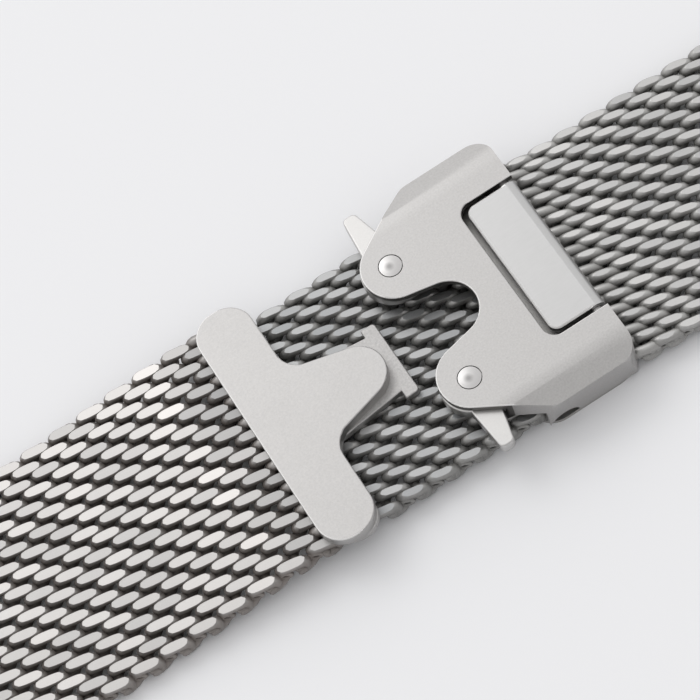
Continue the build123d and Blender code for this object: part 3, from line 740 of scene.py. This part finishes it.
def lay_mesh(context, half, toward, hinges, counts, zones, first_near, shifts, special, bodies, nodes):
    """One half of the band as pieces that bend round the hinges, cut midway between them.

    It runs along +X or -X, with one count of rows up to each hinge and one after the last. The zones are not
    used: a zone would be how far a piece bends on each side of its hinge, and the last zone would serve all
    the hinges that are left.
    The first row has a top wire on the -Y edge if first_near says so, and the rows then take turns.
    """
    sizes, finish = context.scene.band_weave, context.scene.band_finish
    weave = Weave(sizes, half)
    corners = [(HINGES[name].x, HINGES[name].z) for name in hinges]
    start = (corners[0][0] - toward * counts[0] * weave.pitch, corners[0][1])
    corners.append((corners[-1][0] + toward * (counts[-1] + 1) * weave.pitch, corners[-1][1]))
    kinds = sorted({GROUND} | {kept for kept, _ in special.values()})
    spirals = {(near, kept): spiral(weave, near, kept) for near in (True, False) for kept in kinds}
    chance = random.Random(sizes.seed + (1 if toward > 0 else 0))
    wire, deep, fade, flats = (
        getattr(finish, f"{half}_{word}") for word in ("wire", "deep", "fade", "flats"))
    materials = [drawn_wire(f"{half}_side_wire", wire[:], deep[:], fade),
                 ground_flats(f"{half}_side_flats", flats[:], finish.flat_roughness)]
    rows = row_places(start, corners, toward, weave.pitch, sum(counts), first_near,
                      getattr(sizes, f"{half}_slide"), shifts, special)
    ends, total = [], 0
    for i, count in enumerate(counts):
        ends.append(total + (0 if i == 0 else (count + 1) // 2))
        total += count
    ends.append(total)
    for i, node in enumerate(nodes):
        piece = woven(f"{half}_side_weave_{i + 1}", rows[ends[i]:ends[i + 1]], weave, spirals, materials,
                      chance)
        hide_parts(node)
        if i + 1 < len(bodies):
            hinge, zone = corners[i][0], zones[min(i, len(zones) - 1)]
            hinge - toward * zone
            hinge + toward * zone
            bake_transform(piece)
        else:
            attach(piece, bodies[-1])
    for mesh in spirals.values():
        bpy.data.meshes.remove(mesh)
    tongue(f"{half}_side_tongue", nodes[-1], f"rolled_end_{half}_side", toward, bodies[-1],
           polished(f"{half}_side_pressed", wire[:], roughness=0.4))


def tongue(name, node, end, toward, body, material, inside=0.1 * MM):
    """The flattened last millimetres of the mesh, which the rolled end clamps between its flanges."""
    rolled, mesh_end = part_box(end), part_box(node)
    mouth = rolled[0].x if toward > 0 else rolled[1].x
    tip = mesh_end[1].x if toward > 0 else mesh_end[0].x
    held = [v.co for v in frame["nodes"][node].data.vertices if (v.co.x - mouth) * toward > inside]
    low = Vector((min(mouth, tip), min(co.y for co in held), min(co.z for co in held)))
    high = Vector((max(mouth, tip), max(co.y for co in held), max(co.z for co in held)))
    bm = bmesh.new()
    size = Matrix.Diagonal((*(high - low), 1.0))
    bmesh.ops.create_cube(bm, size=1.0, matrix=Matrix.Translation((low + high) / 2) @ size)
    piece = new_piece(name, bm, [material])
    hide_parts(node)
    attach(piece, body)


# Rows of the hook side that differ, by number: how they are ground, and how much brighter they are
HOOK_ROWS = {0: (ROUND, 0.0), 1: (LIGHT, -0.5), 2: (GROUND, -0.3), 3: (GROUND, -0.2), 4: (GROUND, 0.25),
             5: (GROUND, 0.10)}
# How far its rows are moved along the run, in millimetres by row number, and their share of the shift
HOOK_NUDGE = [(0, 0.30), (1, -0.12), (2, -0.05), (3, 0.0)]
HOOK_DRIFT = [(30, 1.0), (54, 0.48)]
# The same rows of the tail side, with painted shade that makes them darker and duller up to where it leaves
# the clasp
TAIL_ROWS = {number: (GROUND, -0.7) for number in range(18)} | {
    18: (ROUND, 0.0), 19: (LIGHT, 0.0), 20: (LIGHT, 0.0)}
# How far its rows are moved along the run and across the band, in millimetres: they crowd behind the clasp
TAIL_NUDGE = [(10, 0.0), (18, -0.12), (19, -0.47), (20, -0.72), (21, -0.94), (22, -1.07), (23, -1.17),
              (24, -1.22), (45, -1.22), (92, -0.88)]
TAIL_DRIFT = [(9, -0.04), (11, 0.0), (17, 0.0), (18, -0.45), (20, -0.62), (22, -0.7425), (40, -0.7425),
              (80, 0.0)]


class MESHBAND_OT_hook_side(Operator):
    """Weaves the half of the band that is welded to the hook"""

    bl_idname = "meshband.hook_side"
    bl_label = "Hook side mesh"

    def execute(self, context):
        sizes = context.scene.band_weave

        def shifts(number):
            return between(HOOK_NUDGE, number) * MM, sizes.hook_aside * between(HOOK_DRIFT, number)

        lay_mesh(context, "hook", -1, ["hook_side_curl"] + [f"hook_side_curl_{i}" for i in range(2, 7)],
                 [4] + [9] * 5 + [8], [2.75 * MM, 4.5 * sizes.hook_pitch], False, shifts, HOOK_ROWS,
                 ["hook"] + [f"hook_side_{i}" for i in range(1, 7)],
                 ["mesh_hook_side_stub"] + [f"mesh_hook_side_{i}" for i in range(1, 7)])
        return {"FINISHED"}


class MESHBAND_OT_tail_side(Operator):
    """Weaves the half of the band that runs through the clasp, with its loose tail"""

    bl_idname = "meshband.tail_side"
    bl_label = "Tail side mesh"

    def execute(self, context):
        sizes = context.scene.band_weave

        def shifts(number):
            return between(TAIL_NUDGE, number) * MM, between(TAIL_DRIFT, number) * MM

        lay_mesh(context, "tail", 1,
                 ["tail_bend", "tail_side_curl"] + [f"tail_side_curl_{i}" for i in range(2, 8)],
                 [8, 16] + [10] * 6 + [9], [2.2 * MM, 5.5 * MM, 5 * sizes.tail_pitch], True,
                 shifts, TAIL_ROWS,
                 ["tail_end", "band_in_clasp"] + [f"tail_side_{i}" for i in range(1, 8)],
                 ["mesh_tail_end", "mesh_in_clasp"] + [f"mesh_tail_side_{i}" for i in range(1, 8)])
        return {"FINISHED"}


class MESHBAND_OT_plates(Operator):
    """Gives the clasp's and the hook's plates their satin steel"""

    bl_idname = "meshband.plates"
    bl_label = "Clasp and hook plates"

    def execute(self, context):
        finish = context.scene.band_finish
        satin = blasted("satin_plate", finish.plate_colour[:], finish.plate_roughness, finish.grain_size)
        # painted shade on the steep walls round the window and lobes
        walls = polished("cut_walls", finish.wall_colour[:], roughness=0.35)
        # painted highlight on the plates' rounded edges and narrow edge breaks
        rim = polished("bright_rim", finish.rim_colour[:], roughness=0.55)
        eased("clasp_shell", "clasp", [satin, walls, rim],
              soft=FACET_LINES, walls_within=9.0 * MM)
        eased("hook_upper_plate", "hook", [satin, rim])
        rough = blasted("rough_plate", finish.plate_colour[:], roughness=0.5, grain=finish.grain_size * 1.3,
                        contrast=0.7, depth=0.02 * MM)
        eased("hook_lower_plate", "hook", [rough])
        dress(["clasp_base", "lever_deck"],
              blasted("inner_plate", finish.inner_colour[:], roughness=0.45, grain=finish.grain_size))
        flap = brushed("flap_steel", finish.flap_colour[:], roughness=0.34, scale=(0.15, 1.0, 1.0))
        eased("locking_flap", "flap", [flap, rim], width=0.12 * MM)
        return {"FINISHED"}


class MESHBAND_OT_levers(Operator):
    """Gives the levers, their springs, the rivets and the hinge pin their steel"""

    bl_idname = "meshband.levers"
    bl_label = "Levers and rivets"

    def execute(self, context):
        finish = context.scene.band_finish
        lever = brushed("lever_steel", finish.lever_colour[:], roughness=0.36, scale=(1.0, 1.0, 0.3),
                        contrast=0.16)
        for way in ("far", "near"):
            eased(f"catch_lever_{way}", f"{way}_lever", [lever])
        rivet = sum(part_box("lever_rivet_far"), Vector()) / 2
        off_centre = 0.1 * MM   # how far from the middle of its head the painted dark reflection lies
        dress(["lever_rivet_far", "lever_rivet_near"],
              rivet_head("rivet_steel", finish.rivet_colour[:], roughness=0.30,
                         x=rivet.x - off_centre, y=abs(rivet.y)))
        dress(["flap_hinge_pin"], polished("pin_steel", finish.rivet_colour[:], roughness=0.30))
        dress(["lever_spring_far", "lever_spring_near"],
              polished("spring_wire", finish.spring_colour[:], roughness=0.3))
        return {"FINISHED"}


class MESHBAND_OT_ends(Operator):
    """Gives the rolled ends and the spring bars their steel"""

    bl_idname = "meshband.ends"
    bl_label = "Rolled ends and spring bars"

    def execute(self, context):
        finish = context.scene.band_finish
        sides = ("hook_side", "tail_side")
        rolled = brushed("rolled_end_steel", finish.end_colour[:], roughness=0.36, scale=(1.0, 0.15, 1.0))
        for side, body in zip(sides, ("hook_side_6", "tail_side_7")):
            eased(f"rolled_end_{side}", body, [rolled])
        dress([f"spring_bar_tube_{s}" for s in sides],
              brushed("bar_tube_steel", finish.tube_colour[:], roughness=0.32, scale=(1.0, 1.0, 1.0)))
        dress([f"spring_bar_tip_{s}_{e}" for s in sides for e in ("far", "near")],
              polished("bar_tip_steel", finish.tip_colour[:], roughness=0.28))
        dress([f"spring_bar_spring_{s}" for s in sides],
              polished("bar_spring_wire", finish.spring_colour[:], roughness=0.3))
        return {"FINISHED"}


def lay_floor(stage):
    """A wide pale disc under the band."""
    bm = bmesh.new()
    bmesh.ops.create_circle(bm, cap_ends=True, segments=64, radius=stage.floor_radius)
    mesh = as_mesh("floor", bm)
    mesh.materials.append(Finish("pale_floor").closed({
        "Base Color": stage.floor_colour[:], "Roughness": 0.9, "Specular IOR Level": 0.1}))
    floor = add_object("floor", mesh)


def light_sky(scene, stage):
    """Light from all round, a little stronger from the far side."""
    world = bpy.data.worlds.new("soft_sky")
    scene.world = world
    world.use_nodes = True
    tree = world.node_tree
    tree.nodes.clear()
    way_out = add_node(tree, "ShaderNodeTexCoord", {}, {}, "Generated")
    far = add_node(tree, "ShaderNodeSeparateXYZ", {}, {"Vector": way_out}, "Y")
    sky = add_node(tree, "ShaderNodeBackground", {}, {
        "Color": stage.sky_colour[:],
        "Strength": stage.sky_strength + far.least(stage.sky_cap) * stage.sky_slant})
    add_node(tree, "ShaderNodeOutputWorld", {}, {"Surface": sky})


def hang_lamp(stage):
    """One soft round lamp that looks at the camera's target."""
    lamp = bpy.data.lights.new("soft_lamp", "AREA")
    lamp.shape = "DISK"
    lamp.size = stage.lamp_size
    lamp.energy = stage.lamp_power
    holder = add_object("soft_lamp", lamp)
    way = Vector(stage.lamp_way).normalized()
    holder.location = Vector(stage.target) + way * stage.lamp_distance
    holder.rotation_euler = way.to_track_quat("Z", "Y").to_euler()


def set_camera(scene, stage):
    """The camera at the photograph's place, turned to its target."""
    view = bpy.data.cameras.new("view")
    view.lens = stage.lens
    view.sensor_width = SENSOR
    view.clip_start = 5 * MM
    camera = add_object("view", view)
    flat = math.cos(stage.elevation)
    back = Vector((flat * math.cos(stage.azimuth), flat * math.sin(stage.azimuth),
                   math.sin(stage.elevation)))
    right = (-back).cross(Vector((0, 0, 1))).normalized()
    up = right.cross(-back)
    c, s = math.cos(stage.roll), math.sin(stage.roll)
    turned = Matrix((c * right + s * up, c * up - s * right, back)).transposed().to_4x4()
    turned.translation = Vector(stage.target) + back * stage.distance
    camera.matrix_world = turned
    scene.camera = camera


class MESHBAND_OT_stage(Operator):
    """Sets the pale floor, the soft light and the camera"""

    bl_idname = "meshband.stage"
    bl_label = "Floor, light and camera"

    def execute(self, context):
        scene, stage = context.scene, context.scene.band_stage
        lay_floor(stage)
        light_sky(scene, stage)
        hang_lamp(stage)
        set_camera(scene, stage)
        scene.view_settings.view_transform = "Standard"
        return {"FINISHED"}


OPERATORS = (MESHBAND_OT_hook_side, MESHBAND_OT_tail_side, MESHBAND_OT_plates, MESHBAND_OT_levers,
             MESHBAND_OT_ends, MESHBAND_OT_stage)


class MESHBAND_PT_panel(Panel):
    """Lists the band's operators and sizes"""

    bl_idname = "MESHBAND_PT_panel"
    bl_label = "Milanese mesh band"
    bl_space_type = "VIEW_3D"
    bl_region_type = "UI"
    bl_category = "Mesh band"

    def draw(self, context):
        for operator in OPERATORS:
            self.layout.operator(operator.bl_idname)
        for group in (context.scene.band_weave, context.scene.band_finish, context.scene.band_stage):
            box = self.layout.box()
            for name in group.bl_rna.properties.keys():
                if name not in ("rna_type", "name"):
                    box.prop(group, name)


GROUPS = {"band_weave": MESHBAND_PG_weave, "band_finish": MESHBAND_PG_finish, "band_stage": MESHBAND_PG_stage}


def register():
    for group in GROUPS.values():
        bpy.utils.register_class(group)
    for name, group in GROUPS.items():
        setattr(bpy.types.Scene, name, PointerProperty(type=group))
    for made in (*OPERATORS, MESHBAND_PT_panel):
        bpy.utils.register_class(made)


def unregister():
    for made in (MESHBAND_PT_panel, *reversed(OPERATORS)):
        bpy.utils.unregister_class(made)
    for name in GROUPS:
        delattr(bpy.types.Scene, name)
    for group in reversed(GROUPS.values()):
        bpy.utils.unregister_class(group)


def main():
    register()
    for operator in OPERATORS:
        space, name = operator.bl_idname.split(".")
        getattr(getattr(bpy.ops, space), name)()


if __name__ == "__main__":
    main()
